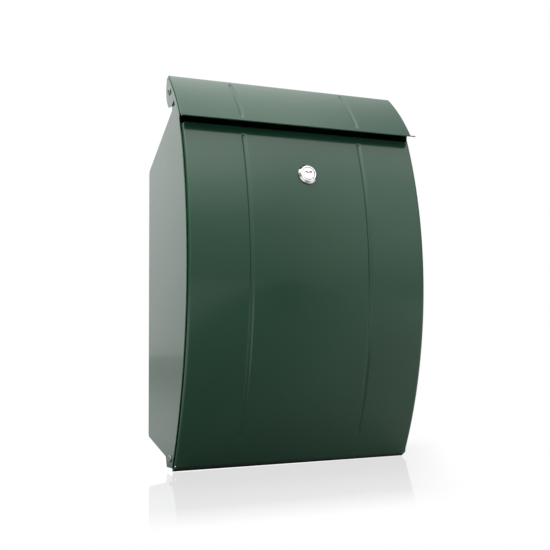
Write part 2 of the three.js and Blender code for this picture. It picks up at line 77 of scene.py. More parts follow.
class Arc:
    """A rolled surface in the side view, bulging forward."""

    def __init__(self, radius, centre):
        self.radius = radius
        self.centre = centre

    @classmethod
    def through(cls, upper, lower, radius):
        chord = lower - upper
        inward = point(-chord.y, chord.x).normalized()
        reach = math.sqrt(radius**2 - chord.length_squared / 4)
        return cls(radius, (upper + lower) / 2 + inward * reach)

    def angle(self, z):
        return math.asin((z - self.centre.y) / self.radius)

    def at(self, angle, inset=0.0):
        reach = self.radius - inset
        return self.centre + point(-math.cos(angle), math.sin(angle)) * reach

    def at_height(self, z, inset=0.0):
        reach = self.radius - inset
        return point(self.centre.x - math.sqrt(reach**2 - (z - self.centre.y) ** 2), z)

    def down(self, angle):
        """The direction along the surface, downwards."""
        return point(-math.sin(angle), -math.cos(angle))


# The door.
DOOR = Arc(428, point(428 - BOX_DEPTH, 34))
DOOR_TOP = 169.5
DOOR_BOTTOM = -165
DOOR_FLANGE = 12
SIDE_SET_BACK = 3.2  # how far the side panel's front edge lies behind the door's face
DOOR_FLANGE_END = point(-88.2, -169.7)
DOOR_FLANGE_RISE = point(0.6, 1.6)  # from the bottom flange's end to the side flange's last corner
DOOR_TOE_RISE = point(0.9, 1.7)
DOOR_PIVOT = point(-86.8, -157.6)
DOOR_EAR_RADIUS = 7
DOOR_EAR_TOP = -138
DOOR_BEND_RADIUS = 4.5
DOOR_TOP_BEND_RADIUS = 1.3
DOOR_GROOVES = (-141, 161)

# The lid.
LID_TOP = point(-81, 229.5)
LID_FOOT = point(-126.5, 175.5)
LID = Arc.through(LID_TOP, LID_FOOT, 222)
LID_PIVOT = point(-87.7, 209.1)
LID_EAR_RADIUS = 8.5
EAR_REAR = point(-93, 197.5)
LID_CAP_CORNER = point(-84.4, 193.4)
LID_CAP_ARC = Arc.through(LID_CAP_CORNER, LID_TOP, 28)
LID_REAR_FLANGE = 9
LID_CAP_LOWER_EDGE = [point(-97.5, 192.2), point(-103.8, 195.7)]
LID_CAP_NOTCH = [point(-104.8, 195.6), point(-109, 188.5)]
LIP_LENGTH = 9.5
LIP_TILT = math.radians(15)
LIP_BEND_RADIUS = 1.6
LIP_CORNER = 2.0

# The two pressed grooves in the lid and the door.
GROOVE_X = BOX_WIDTH / 4
GROOVE_HALF_WIDTH = 2.7
GROOVE_DEPTH = 0.95
GROOVE_FLAT = 0.28  # the share of the half width that the flat foot takes
GROOVE_END = 4.0

# The slopes of the roof and the floor.
ROOF_RISE = 0.4725
FLOOR_FALL = 0.19
ROOF_FRONT_Y = -97.5
FLOOR_FRONT_Y = -64

# The lock.
LOCK_Z = 122
LOCK_HEAD_RADIUS = 10.4
LOCK_HEAD_TOP = 3.4
LOCK_HOLE_RADIUS = 8.1
BARREL_RADIUS = 7.8
BARREL_LENGTH = 17
PLUG_RADIUS = 5.4
PLUG_SEAT_DEPTH = 1.6
PLUG_TOP = 3.1
PLUG_FACE_FOOT = -2.5
PLUG_BARREL_FOOT = -17.3
PLUG_TAIL_FOOT = -19.6
PLUG_TAIL_HALF_WIDTH = 3.2
KEYWAY = [point(-3.4, 2.2), point(-0.5, 1.0), point(0.8, 0.6), point(2.2, 1.8), point(4.0, 1.8)]
KEYWAY_WIDTH = 1.8

RIVET_RADIUS = 2.2
RIVET_HEAD_RADIUS = 3.6
WALL_HOLE_RADIUS = 3
WALL_HOLES = (95, 118)


def roof_z(y):
    return BACK_HEIGHT / 2 - y * ROOF_RISE


def floor_z(y):
    return -BACK_HEIGHT / 2 + y * FLOOR_FALL


def turned_about(p, centre, angle):
    turned = Matrix.Rotation(angle, 2) @ (p - centre)
    return centre + turned


def round_corners(corners, radius, steps=6):
    """A line through the corners with each inner corner rounded."""
    line = [corners[0]]
    for before, corner, after in zip(corners, corners[1:], corners[2:]):
        back = (before - corner).normalized()
        onward = (after - corner).normalized()
        half = math.acos(back.dot(onward)) / 2
        centre = corner + (back + onward).normalized() * (radius / math.sin(half))
        start = corner + back * (radius / math.tan(half))
        out = start - centre
        turn = (math.pi - 2 * half) * math.copysign(1, back.x * out.y - back.y * out.x)
        line += [turned_about(start, centre, turn * k / steps) for k in range(steps + 1)]
    line.append(corners[-1])
    return line


def round_arc(centre, radius, start, end, steps):
    """Points on a circle, from one angle to another, both in radians."""
    angles = [start + (end - start) * k / steps for k in range(steps + 1)]
    return [centre + point(math.cos(a), math.sin(a)) * radius for a in angles]


def spread(low, high, count):
    return [low + (high - low) * k / count for k in range(count + 1)]


# ---------------------------------------------------------------- mesh tools


class Skin:
    """The outer surface of one pressed sheet, collected as points in millimetres and faces."""

    def __init__(self):
        self.bm = bmesh.new()

    def vert(self, x, p):
        return self.bm.verts.new((x * MM, p.x * MM, p.y * MM))

    def row(self, xs, p):
        return [self.vert(x, p) for x in xs]

    def strip(self, row_a, row_b):
        """Quads between two rows of the same length."""
        for a, b, c, d in zip(row_a, row_a[1:], row_b[1:], row_b):
            if len({a, b, c, d}) == 4:
                self.bm.faces.new((a, b, c, d))

    def grid(self, rows):
        for row_a, row_b in zip(rows, rows[1:]):
            self.strip(row_a, row_b)

    def fill(self, loop):
        self.bm.faces.new(loop)

    def face_outwards(self, seed_test):
        """Turns every face the same way, outwards as the test says for the face it is given."""
        bmesh.ops.recalc_face_normals(self.bm, faces=self.bm.faces)
        self.bm.faces.ensure_lookup_table()
        if not seed_test(self.bm.faces[0]):
            bmesh.ops.reverse_faces(self.bm, faces=self.bm.faces)


def linked(name, mesh):
    piece = bpy.data.objects.new(name, mesh)
    bpy.context.scene.collection.objects.link(piece)
    return piece


def mesh_from(bm, name):
    mesh = bpy.data.meshes.new(name)
    bm.to_mesh(mesh)
    bm.free()
    return mesh


def applied(piece):
    """Replaces the piece's mesh by the result of its modifiers."""
    bpy.context.view_layer.update()
    graph = bpy.context.evaluated_depsgraph_get()
    mesh = bpy.data.meshes.new_from_object(piece.evaluated_get(graph))
    mesh.name = piece.name
    piece.modifiers.clear()
    piece.data = mesh
    return piece


def cut(piece, cutter):
    boolean = piece.modifiers.new("cut", "BOOLEAN")
    boolean.operation = "DIFFERENCE"
    boolean.solver = "EXACT"
    boolean.object = cutter


def smoothed(piece):
    """Smooth shading that keeps flat faces flat and sharp edges sharp."""
    for polygon in piece.data.polygons:
        polygon.use_smooth = True
    piece.data.set_sharp_from_angle(angle=math.radians(35))
    weighted = piece.modifiers.new("weighted", "WEIGHTED_NORMAL")
    weighted.keep_sharp = True
    weighted.weight = 100
    return applied(piece)


def pressed(name, skin, cutters=()):
    """A painted sheet of even thickness behind the skin, with its cut edges rounded and worn."""
    piece = linked(name, mesh_from(skin.bm, name))
    piece.data.materials.append(PAINT)
    piece.data.materials.append(PAINTED_EDGE)
    solidify = piece.modifiers.new("sheet", "SOLIDIFY")
    solidify.thickness = SHEET * MM
    solidify.offset = -1
    solidify.use_even_offset = True
    for cutter in cutters:
        cut(piece, cutter)
    bevel = piece.modifiers.new("cut_edge", "BEVEL")
    bevel.width = CUT_EDGE * MM
    bevel.segments = 2
    bevel.limit_method = "ANGLE"
    bevel.angle_limit = math.radians(50)
    bevel.use_clamp_overlap = True
    bevel.material = 1
    applied(piece)
    for cutter in cutters:
        bpy.data.objects.remove(cutter)
    return smoothed(piece)


def lathed(name, profile, basis, segments):
    """A closed body turned about local Z. The profile runs (radius, height) from axis to axis."""
    bm = bmesh.new()
    rings = []
    for radius, height in profile:
        if radius < 1e-6:
            rings.append([bm.verts.new((0, 0, height * MM))] * segments)
            continue
        angles = [2 * math.pi * k / segments for k in range(segments)]
        ring = [(radius * math.cos(a) * MM, radius * math.sin(a) * MM, height * MM) for a in angles]
        rings.append([bm.verts.new(co) for co in ring])
    for low, high in zip(rings, rings[1:]):
        for k in range(segments):
            corners = [low[k], low[(k + 1) % segments], high[(k + 1) % segments], high[k]]
            unique = list(dict.fromkeys(corners))
            if len(unique) > 2:
                bm.faces.new(unique)
    bmesh.ops.recalc_face_normals(bm, faces=bm.faces)
    bm.transform(basis)
    return linked(name, mesh_from(bm, name))


def rod(radius, at, from_x, to_x):
    """A cutter along X through a side-view point."""
    profile = [(0, from_x), (radius, from_x), (radius, to_x), (0, to_x)]
    basis = Matrix.Translation((0, at.x * MM, at.y * MM)) @ Matrix.Rotation(math.pi / 2, 4, "Y")
    return lathed("cutter", profile, basis, 40)


def prism(outline, from_z, to_z, basis):
    """A closed body from a flat outline, run along local Z."""
    bm = bmesh.new()
    low = [bm.verts.new((p.x * MM, p.y * MM, from_z * MM)) for p in outline]
    high = [bm.verts.new((p.x * MM, p.y * MM, to_z * MM)) for p in outline]
    bm.faces.new(low)
    bm.faces.new(high)
    for k, _ in enumerate(outline):
        after = (k + 1) % len(outline)
        bm.faces.new((low[k], low[after], high[after], high[k]))
    bmesh.ops.recalc_face_normals(bm, faces=bm.faces)
    bm.transform(basis)
    return linked("prism", mesh_from(bm, "prism"))


def placed(piece, body, nodes, material=None):
    """Puts the piece on its body, in place of the frame's nodes."""
    if material:
        piece.data.materials.clear()
        piece.data.materials.append(material)
    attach(piece, body)
    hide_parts(*nodes)
    return piece


# ---------------------------------------------------------------- materials


def new_material(name):
    material = bpy.data.materials.new(name)
    material.use_nodes = True
    tree = material.node_tree
    shader = tree.nodes["Principled BSDF"]
    return material, tree, shader


def object_noise(tree, scale, detail):
    coords = tree.nodes.new("ShaderNodeTexCoord")
    noise = tree.nodes.new("ShaderNodeTexNoise")
    noise.inputs["Scale"].default_value = scale
    noise.inputs["Detail"].default_value = detail
    noise.inputs["Roughness"].default_value = 0.5
    tree.links.new(coords.outputs["Object"], noise.inputs["Vector"])
    return noise.outputs["Fac"]


def ramp(tree, value, stops):
    """A colour ramp through (position, colour) stops."""
    node = tree.nodes.new("ShaderNodeValToRGB")
    elements = node.color_ramp.elements
    while len(elements) < len(stops):
        elements.new(0.5)
    for element, (position, colour) in zip(elements, stops):
        element.position = position
        element.color = (*colour, 1)
    tree.links.new(value, node.inputs["Fac"])
    return node.outputs["Color"]


def grey(value):
    return (value, value, value)


def mixed(tree, factor, colour_a, colour_b):
    node = tree.nodes.new("ShaderNodeMix")
    node.data_type = "RGBA"
    tree.links.new(factor, node.inputs[0])
    for socket, colour in ((node.inputs[6], colour_a), (node.inputs[7], colour_b)):
        if isinstance(colour, tuple):
            socket.default_value = (*colour, 1)
        else:
            tree.links.new(colour, socket)
    return node.outputs[2]


def bump(tree, shader, height, distance, strength):
    node = tree.nodes.new("ShaderNodeBump")
    node.inputs["Strength"].default_value = strength
    node.inputs["Distance"].default_value = distance * MM
    tree.links.new(height, node.inputs["Height"])
    tree.links.new(node.outputs["Normal"], shader.inputs["Normal"])


def powder_coat(name, worn):
    """Gloss moss green powder coat: faint orange peel and slight tone drift, lighter where worn."""
    material, tree, shader = new_material(name)
    colour = ramp(
        tree,
        object_noise(tree, 9, 3),
        [(0.3, (0.0068, 0.039, 0.0195)), (0.7, (0.0082, 0.045, 0.0225))],
    )
    if worn:
        patches = ramp(tree, object_noise(tree, 260, 3), [(0.5, grey(0)), (0.62, grey(1))])
        colour = mixed(tree, patches, colour, (0.05, 0.13, 0.08))
    tree.links.new(colour, shader.inputs["Base Color"])
    gloss = ramp(tree, object_noise(tree, 22, 4), [(0.35, grey(0.15)), (0.7, grey(0.2))])
    tree.links.new(gloss, shader.inputs["Roughness"])
    shader.inputs["IOR"].default_value = 1.52
    shader.inputs["Specular Tint"].default_value = (0.88, 1, 0.93, 1)
    shader.inputs["Coat Weight"].default_value = 0.35
    shader.inputs["Coat Roughness"].default_value = 0.05
    bump(tree, shader, object_noise(tree, 420, 1.5), 0.012, 0.35)
    return material


def chrome_plate():
    """Bright nickel chrome with faint buffing, and painted shade that darkens its colour in the keyway and
    the narrow gaps.
    """
    material, tree, shader = new_material("bright_chrome")
    tone = ramp(tree, object_noise(tree, 150, 3), [(0.3, grey(0.8)), (0.7, grey(0.88))])
    # Painted shade: where the AO node finds the surface closed in, as in the keyway and the narrow gaps, the
    # colour turns near black.
    recess_occlusion = tree.nodes.new("ShaderNodeAmbientOcclusion")
    recess_occlusion.inputs["Distance"].default_value = 1.5 * MM
    recess_occlusion.samples = 8
    painted_recess_shade = ramp(tree, recess_occlusion.outputs["AO"], [(0.5, grey(1)), (0.78, grey(0))])
    colour = mixed(tree, painted_recess_shade, tone, (0.012, 0.012, 0.011))
    tree.links.new(colour, shader.inputs["Base Color"])
    shader.inputs["Metallic"].default_value = 1
    gloss = ramp(tree, object_noise(tree, 500, 4), [(0.3, grey(0.07)), (0.75, grey(0.14))])
    tree.links.new(gloss, shader.inputs["Roughness"])
    bump(tree, shader, object_noise(tree, 900, 2), 0.004, 0.3)
    return material


def zinc_plate():
    """Satin zinc with a fine drawn grain and cloudy tone."""
    material, tree, shader = new_material("satin_zinc")
    tone = ramp(tree, object_noise(tree, 240, 5), [(0.3, (0.36, 0.38, 0.37)), (0.7, (0.5, 0.52, 0.5))])
    tree.links.new(tone, shader.inputs["Base Color"])
    shader.inputs["Metallic"].default_value = 1
    gloss = ramp(tree, object_noise(tree, 700, 4), [(0.3, grey(0.3)), (0.75, grey(0.45))])
    tree.links.new(gloss, shader.inputs["Roughness"])
    bump(tree, shader, object_noise(tree, 1500, 3), 0.01, 0.4)
    return material


PAINT = powder_coat("moss_green_powder_coat", False)
PAINTED_EDGE = powder_coat("worn_powder_coat_edge", True)
CHROME = chrome_plate()
ZINC = zinc_plate()


# ---------------------------------------------------------------- pressed grooves


def groove_columns():
    """The x places across a face that a groove needs, and how deep each is pressed."""
    columns = []
    for middle in (-GROOVE_X, GROOVE_X):
        for share in spread(-1.15, 1.15, 20):
            columns.append((middle + share * GROOVE_HALF_WIDTH, groove_shape(share)))
    return columns


def groove_shape(share):
    """A flat foot between two rounded flanks."""
    flank = min(max((abs(share) - GROOVE_FLAT) / (1 - GROOVE_FLAT), 0), 1)
    return 0.5 + 0.5 * math.cos(math.pi * flank)


def groove_fade(z, low, high):
    """How far the groove is pressed in at this height: 1 inside, 0 past its round ends."""
    inside = min(z - low, high - z) / GROOVE_END
    return math.sqrt(1 - (1 - min(max(inside, 0), 1)) ** 2)


def face_columns(half_width, corner):
    """(x, inset, press share) across a panel's front, from one fold's end to the other's."""
    steps = 8
    turn = [math.pi / 2 * k / steps for k in range(steps + 1)]
    fold = [(half_width - corner + corner * math.sin(a), corner - corner * math.cos(a), 0.0) for a in turn]
    left = [(-x, inset, press) for x, inset, press in reversed(fold)]
    middle = [(x, 0.0, press) for x, press in groove_columns()]
    between = [(x, 0.0, 0.0) for x in (-110, -90, -30, 0, 30, 90, 110)]
    return left + sorted(middle + between) + fold


def rolled_rows(skin, arc, columns, stations, grooves):
    """The rows of a rolled face, from its lowest station to its highest."""
    rows = []
    for z in stations:
        angle = arc.angle(z)
        pressed_in = groove_fade(z, *grooves) * GROOVE_DEPTH
        rows.append([skin.vert(x, arc.at(angle, inset + press * pressed_in)) for x, inset, press in columns])
    return rows


def face_part(columns, row):
    """The vertices of a row that lie on the flat of the face, between the folds."""
    return [v for (x, inset, press), v in zip(columns, row) if inset == 0.0]


# ---------------------------------------------------------------- the door


def door_side_outline():
    """The rear edge of a door side flange, from the top down round the hinge ear to the bottom."""
    rear = [DOOR.at_height(z, DOOR_FLANGE) for z in spread(DOOR_TOP - 2, DOOR_EAR_TOP, 40)]
    ear = round_arc(DOOR_PIVOT, DOOR_EAR_RADIUS, 0.3 * math.pi, -0.5 * math.pi, 14)
    return rear + ear + [DOOR_FLANGE_END + DOOR_FLANGE_RISE]


def door_panel():
    skin = Skin()
    columns = face_columns(DOOR_HALF_WIDTH, FOLD_RADIUS)
    corner = DOOR.at_height(DOOR_BOTTOM)
    up_door = -DOOR.down(DOOR.angle(DOOR_BOTTOM))
    bend = round_corners([DOOR_FLANGE_END, corner, corner + up_door * 14], DOOR_BEND_RADIUS)[:-1]
    bend_top = bend[-1]
    low = [bend_top.y + 0.01] + spread(bend_top.y + 2, DOOR_GROOVES[0] + 6, 12)
    middle = spread(DOOR_GROOVES[0] + 8, DOOR_GROOVES[1] - 6, 84)
    high = spread(DOOR_GROOVES[1] - 5, DOOR_TOP - 1.5, 12)
    rows = rolled_rows(skin, DOOR, columns, low + middle + high, DOOR_GROOVES)
    skin.grid(rows)

    face_x = [x for x, inset, press in columns if inset == 0.0]
    widths = [DOOR_HALF_WIDTH] * 3 + spread(DOOR_HALF_WIDTH - 0.2, face_x[-1], len(bend) - 5)
    bottom = [skin.row([-outer] + face_x[1:-1] + [outer], p) for p, outer in zip(bend[:-1], widths)]
    skin.grid(bottom + [face_part(columns, rows[0])])

    top_start = DOOR.at_height(DOOR_TOP - 1.5)
    top_corner = DOOR.at_height(DOOR_TOP)
    top_rear = top_corner + point(DOOR_FLANGE, 0)
    top_line = round_corners([top_start, top_corner, top_rear], DOOR_TOP_BEND_RADIUS, 4)
    top = [skin.row(face_x, p) for p in top_line[1:]]
    skin.grid([face_part(columns, rows[-1])] + top)

    rear = door_side_outline()
    for side, index in ((-1, 0), (1, -1)):
        fold_edge = [row[index] for row in rows]
        edge = [skin.vert(side * DOOR_HALF_WIDTH, p) for p in rear]
        toe = skin.vert(side * DOOR_HALF_WIDTH, bend[2] + DOOR_TOE_RISE)
        skin.fill(fold_edge + edge + [toe])
    skin.face_outwards(lambda face: face.normal.y < 0)

    cutters = [rod(RIVET_RADIUS + GAP, DOOR_PIVOT, -SIDE_OUTER - 5, SIDE_OUTER + 5)]
    hole = [(0, -8), (LOCK_HOLE_RADIUS, -8), (LOCK_HOLE_RADIUS, 8), (0, 8)]
    lock_hole = lathed("cutter", hole, LOCK_FRAME, 48)
    piece = pressed("door_sheet", skin, cutters + [lock_hole])
    return placed(piece, "door", ["door_panel"])


# ---------------------------------------------------------------- the lid


def lid_cap_outline():
    """The edge of an end cap from the lid's top down its round rear edge and forward to the foot."""
    start = LID_TOP - LID_CAP_ARC.centre
    end = LID_CAP_CORNER - LID_CAP_ARC.centre
    first = math.atan2(start.y, start.x) - 0.1
    last = math.atan2(end.y, end.x)
    rear = round_arc(LID_CAP_ARC.centre, LID_CAP_ARC.radius, first, last + 0.05, 22)
    lower = [LID_CAP_CORNER + point(-0.9, -0.2), *LID_CAP_LOWER_EDGE]
    return rear + lower + LID_CAP_NOTCH + [LID_FOOT + point(3, 1.2)]


def lid_cover():
    skin = Skin()
    columns = face_columns(LID_HALF_WIDTH, FOLD_RADIUS)
    face_x = [x for x, inset, press in columns if inset == 0.0]
    grooves = (LID_FOOT.y + 4.5, LID_TOP.y - 5)
    stations = spread(LID_FOOT.y + 1.2, LID_TOP.y - 2.6, 44)
    rows = rolled_rows(skin, LID, columns, stations, grooves)
    skin.grid(rows)

    # The rear flange, folded down along the caps' round rear edge.
    turns = [-length / LID_CAP_ARC.radius for length in spread(3, LID_REAR_FLANGE, 4)]
    under = [turned_about(LID_TOP, LID_CAP_ARC.centre, turn) for turn in turns]
    top_line = round_corners([LID.at_height(stations[-1]), LID_TOP, under[0]], FOLD_RADIUS)[1:]
    cap_inner = LID_HALF_WIDTH - SHEET - 0.05
    rear_x = [-cap_inner] + face_x[1:-1] + [cap_inner]
    top = [skin.row(face_x, top_line[0])] + [skin.row(rear_x, p) for p in top_line[1:] + under[1:]]
    skin.grid([face_part(columns, rows[-1])] + top)

    # The lip that stands forward of the lid's foot, with rounded corners.
    forward = point(-math.cos(LIP_TILT), -math.sin(LIP_TILT))
    foot = LID.at_height(stations[0])
    lip_line = round_corners([foot, LID_FOOT, LID_FOOT + forward * LIP_LENGTH], LIP_BEND_RADIUS)
    flat_end = len(lip_line) - 1
    lip = [skin.row(face_x, p) for p in lip_line[1:flat_end]]
    for back in (LIP_LENGTH - 4, 1.4, 0.4, 0.0):
        reach = LID_FOOT + forward * (LIP_LENGTH - back)
        cut_in = LIP_CORNER - math.sqrt(max(LIP_CORNER**2 - max(LIP_CORNER - back, 0) ** 2, 0))
        outer = LID_HALF_WIDTH - cut_in
        lip.append(skin.row([-outer] + face_x[1:-1] + [outer], reach))
    skin.grid([face_part(columns, rows[0])] + lip)

    outline = lid_cap_outline()
    for side, index in ((-1, 0), (1, -1)):
        fold_edge = [row[index] for row in rows]
        edge = [skin.vert(side * LID_HALF_WIDTH, p) for p in outline]
        skin.fill(fold_edge + edge)
    skin.face_outwards(lambda face: face.normal.y < 0)
    cutter = rod(RIVET_RADIUS + GAP, LID_PIVOT, -LID_HALF_WIDTH - 5, LID_HALF_WIDTH + 5)
    piece = pressed("lid_sheet", skin, [cutter])
    return placed(piece, "lid", ["lid_cover"])


# ---------------------------------------------------------------- the housing


def side_outline():
    """The side plate's edge from the bottom of its rear fold round the front to the top."""
    front = Arc(DOOR.radius - SIDE_SET_BACK, DOOR.centre)
    under_lid = Arc(LID.radius - FOLD_RADIUS + GAP, LID.centre)
    ear_angle = (0.75 * math.pi, -0.35 * math.pi)
    return (
        [point(-70, floor_z(-70)), point(-73.5, -167), point(-93, -166)]
        + [front.at_height(z) for z in spread(-161, DOOR_TOP + 3, 80)]
        + [under_lid.at_height(z) for z in spread(LID_FOOT.y + 6.5, LID_PIVOT.y + 4, 12)]
        + round_arc(LID_PIVOT, LID_EAR_RADIUS, *ear_angle, 18)
        + [EAR_REAR, point(EAR_REAR.x, roof_z(EAR_REAR.x))]
    )


def side_panel(hand, side):
    skin = Skin()
    bend = 2.1
    rear_y = -SHEET - GAP
    half = BACK_HEIGHT / 2
    turn = [math.pi / 2 * k / 6 for k in range(7)]
    line = [(SIDE_OUTER - bend + bend * math.cos(a), rear_y - bend + bend * math.sin(a)) for a in turn]
    line.append((SIDE_OUTER - WELD_FLANGE, rear_y))
    low = [skin.vert(side * x, point(y, -half)) for x, y in line]
    high = [skin.vert(side * x, point(y, half)) for x, y in line]
    skin.strip(low, high)
    edge = [skin.vert(side * SIDE_OUTER, p) for p in side_outline()]
    skin.fill([low[0]] + edge + [high[0]])
    skin.face_outwards(lambda face: face.normal.y > 0 or face.normal.x * side > 0)
    reach = (side * SIDE_OUTER - 5, side * SIDE_OUTER + 5)
    holes = [rod(RIVET_RADIUS + GAP, at, *reach) for at in (LID_PIVOT, DOOR_PIVOT)]
    piece = pressed("side_sheet_" + hand, skin, holes)
    return placed(piece, "housing", ["side_panel_" + hand])


def cross_sheet(name, node, line, half_widths, flange_rows, up):
    """A sheet across the box with a flange folded along each end of some of its rows."""
    skin = Skin()
    fold = 1.6
    turn = [math.pi / 2 * k / 5 for k in range(6)]
    rows = []
    for (p, half_width), flanged in zip(zip(line, half_widths), flange_rows):
        outer = half_width - fold if flanged else half_width
        rows.append(skin.row([-outer, -outer / 2, 0, outer / 2, outer], p))
    skin.grid(rows)
    first = flange_rows.index(True)
    last = len(flange_rows) - 1 - flange_rows[::-1].index(True)
    along = (line[last] - line[first]).normalized()
    down = point(along.y, -along.x)
    down = down if (down.y > 0) == up else -down
    for side, index in ((-1, 0), (1, -1)):
        half_width = half_widths[first]
        strips = [[rows[first][index], rows[last][index]]]
        for a in turn[1:]:
            x = side * (half_width - fold + fold * math.sin(a))
            drop = down * (fold - fold * math.cos(a))
            strips.append([skin.vert(x, line[first] + drop), skin.vert(x, line[last] + drop)])
        end = down * WELD_FLANGE
        strips.append([skin.vert(side * half_width, line[k] + end) for k in (first, last)])
        skin.grid(strips)
    skin.face_outwards(lambda face: face.normal.z < 0 if up else face.normal.z > 0)
    piece = pressed(name, skin)
    return placed(piece, "housing", [node])


def roof_sheet():
    rear_y = -SHEET - GAP
    upstand_y = ROOF_FRONT_Y + SHEET / 2
    upstand_top = 201
    rear = [
        point(rear_y, roof_z(0) - WELD_FLANGE),
        point(rear_y, roof_z(rear_y)),
        point(-20, roof_z(-20)),
    ]
    front = [point(-80, roof_z(-80)), point(upstand_y, roof_z(upstand_y)), point(upstand_y, upstand_top)]
    rear_line = round_corners(rear, 2.2)[:-1]
    front_line = round_corners(front, 1.2)[1:]
    middle = [point(-6, roof_z(-6)), point(-90, roof_z(-90))]
    line = rear_line + middle + front_line
    rear_half = SIDE_OUTER - WELD_FLANGE - GAP
    half_widths = [rear_half] * len(rear_line) + [INNER_FIT] * (2 + len(front_line))
    flange_rows = [False] * len(rear_line) + [True, True] + [False] * len(front_line)
    return cross_sheet("roof_sheet", "roof_panel", line, half_widths, flange_rows, False)


def floor_sheet():
    rear_y = -SHEET - GAP
    shelf_z = DOOR_PIVOT.y + 8 - SHEET / 2
    shelf_start = point(DOOR_PIVOT.x + 12, shelf_z)
    rear = [
        point(rear_y, floor_z(0) + WELD_FLANGE),
        point(rear_y, floor_z(rear_y)),
        point(-20, floor_z(-20)),
    ]
    front = [
        point(FLOOR_FRONT_Y + 10, floor_z(FLOOR_FRONT_Y + 10)),
        point(FLOOR_FRONT_Y, floor_z(FLOOR_FRONT_Y)),
        shelf_start,
        point(DOOR_PIVOT.x - 10, shelf_z),
    ]
    rear_line = round_corners(rear, 2.2)[:-1]
    front_line = round_corners(front, 2)[1:]
    middle = [point(-6, floor_z(-6)), point(FLOOR_FRONT_Y + 3, floor_z(FLOOR_FRONT_Y + 3))]
    line = rear_line + middle + front_line
    rear_half = SIDE_OUTER - WELD_FLANGE - GAP
    shelf_half = DOOR_HALF_WIDTH - SHEET - 1.4
    half_widths = [rear_half] * len(rear_line) + [INNER_FIT] * 2
    half_widths += [INNER_FIT if p.x > -66 else shelf_half for p in front_line]
    flange_rows = [False] * len(rear_line) + [True, True] + [False] * len(front_line)
    return cross_sheet("floor_sheet", "floor_panel", line, half_widths, flange_rows, True)


def back_sheet():
    half_width = SIDE_OUTER - 0.5
    half_height = BACK_HEIGHT / 2
    corner = 2
    skin = Skin()
    loop = []
    for quarter, (sx, sz) in enumerate(((1, 1), (-1, 1), (-1, -1), (1, -1))):
        centre = point(sx * (half_width - corner), sz * (half_height - corner))
        for p in round_arc(centre, corner, quarter * math.pi / 2, (quarter + 1) * math.pi / 2, 6):
            loop.append(skin.vert(p.x, point(0, p.y)))
    skin.fill(loop)
    skin.face_outwards(lambda face: face.normal.y > 0)
    cutters = []
    for x in (-WALL_HOLES[0], WALL_HOLES[0]):
        for z in (-WALL_HOLES[1], WALL_HOLES[1]):
            basis = Matrix.Translation((x * MM, 0, z * MM)) @ Matrix.Rotation(math.pi / 2, 4, "X")
            hole = [(0, -5), (WALL_HOLE_RADIUS, -5), (WALL_HOLE_RADIUS, 5), (0, 5)]
            cutters.append(lathed("cutter", hole, basis, 32))
    piece = pressed("back_sheet", skin, cutters)
    return placed(piece, "housing", ["back_panel"])


def rivet(name, node, at, side, head_x, tail_x):
    """A blind rivet: a domed flange with the broken mandrel in its middle, and a swollen tail."""
    dome = [
        (RIVET_HEAD_RADIUS * math.cos(a), 0.35 + 1.25 * math.sin(a))
        for a in spread(0, math.radians(68), 7)
    ]
    mandrel = [(0, 0.9), (0.75, 0.9), (0.95, 0.75), (0.95, 0.6), (1.1, 0.6), (1.2, 0.75)]
    mandrel.append((1.25, dome[-1][1] - 0.1))
    brim = [(RIVET_HEAD_RADIUS, 0.12), (RIVET_HEAD_RADIUS - 0.12, 0)]
    head = [(r, head_x + h) for r, h in mandrel + dome[::-1] + brim]
    tail = [
        (RIVET_RADIUS, head_x),
        (RIVET_RADIUS, tail_x),
        (RIVET_HEAD_RADIUS - 0.3, tail_x - 0.05),
        (RIVET_HEAD_RADIUS - 0.5, tail_x - 0.6),
        (RIVET_RADIUS, tail_x - 1.1),
        (0, tail_x - 1.2),
    ]
    across = Matrix.Rotation(side * math.pi / 2, 4, "Y")
    basis = Matrix.Translation((0, at.x * MM, at.y * MM)) @ across
    piece = smoothed(lathed(name, head + tail, basis, 40))
    return placed(piece, "housing", [node], ZINC)


# ---------------------------------------------------------------- the lock

LOCK_ANGLE = DOOR.angle(LOCK_Z)
LOCK_SEAT = DOOR.at(LOCK_ANGLE)
LOCK_OUT = Vector((0, -math.cos(LOCK_ANGLE), math.sin(LOCK_ANGLE)))
LOCK_UP = Vector((0, math.sin(LOCK_ANGLE), math.cos(LOCK_ANGLE)))
LOCK_FRAME = Matrix.Translation((0, LOCK_SEAT.x * MM, LOCK_SEAT.y * MM)) @ Matrix(
    (
        (1, LOCK_UP.x, LOCK_OUT.x, 0),
        (0, LOCK_UP.y, LOCK_OUT.y, 0),
        (0, LOCK_UP.z, LOCK_OUT.z, 0),
        (0, 0, 0, 1),
    )
)


def lock_body():
    """The bezel and barrel: a flat rim, a bevelled shoulder and a stepped seat for the plug.

    The barrel is solid: it has no bore, so the plug's own barrel and the cam's screw run through it.
    """
    r = LOCK_HEAD_RADIUS
    top = LOCK_HEAD_TOP
    rim = PLUG_RADIUS + 1.75
    seat = PLUG_RADIUS + 1.6
    shoulder = round_corners([point(r, GAP + 0.15), point(r, 1.2), point(r - 2.1, top), point(rim, top)], 0.6)
    profile = [
        (0, -BARREL_LENGTH + 0.2),
        (PLUG_RADIUS + GAP, -BARREL_LENGTH + 0.2),
        (PLUG_RADIUS + GAP, -BARREL_LENGTH),
        (BARREL_RADIUS - 0.3, -BARREL_LENGTH),
        (BARREL_RADIUS, -BARREL_LENGTH + 0.4),
        (BARREL_RADIUS, GAP),
        (r - 0.15, GAP),
        *shoulder,
        (seat, top - 0.15),
        (seat, top - PLUG_SEAT_DEPTH),
        (0, top - PLUG_SEAT_DEPTH),
    ]
    piece = smoothed(lathed("lock_bezel", profile, LOCK_FRAME, 96))
    return placed(piece, "door", ["lock_body"], CHROME)


